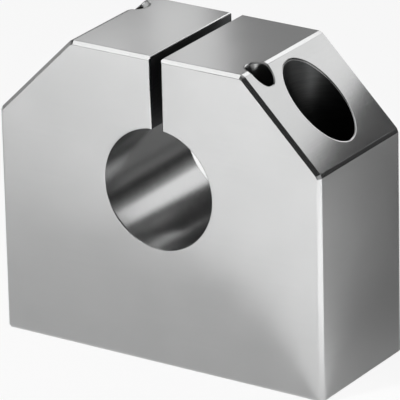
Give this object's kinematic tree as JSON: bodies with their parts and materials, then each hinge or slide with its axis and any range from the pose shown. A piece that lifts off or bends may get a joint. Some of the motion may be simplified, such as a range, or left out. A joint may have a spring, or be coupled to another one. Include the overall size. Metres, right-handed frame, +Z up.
{
  "type": "shaft support block",
  "caption": "Steel block that clamps the end of a round shaft: bored and slotted, with sloped shoulders, counterbored screw holes, locating pin holes and a clamp screw.",
  "frame": {"origin": "centre of the mounting face, in the middle of the block's width and depth", "axes": "+Z up from the mounting face, +X across the shaft towards the jaw with the tapped hole, +Y along the shaft bore, so that the front face is at -Y"},
  "size_m": [0.06, 0.024, 0.052],
  "materials": {
    "ground_steel": "ground and lightly polished",
    "black_oxide_steel": "black oxide"
  },
  "bodies": {
    "block": {"block": "ground_steel"},
    "clamp_screw": {"clamp_screw": "black_oxide_steel"}
  },
  "joints": [
    {"name": "clamp_screw_turn", "type": "hinge", "parent": "block", "child": "clamp_screw", "pos_m": [0, 0, 0.046], "axis": [-1, 0, 0], "range_deg": [0, 270]}
  ]
}
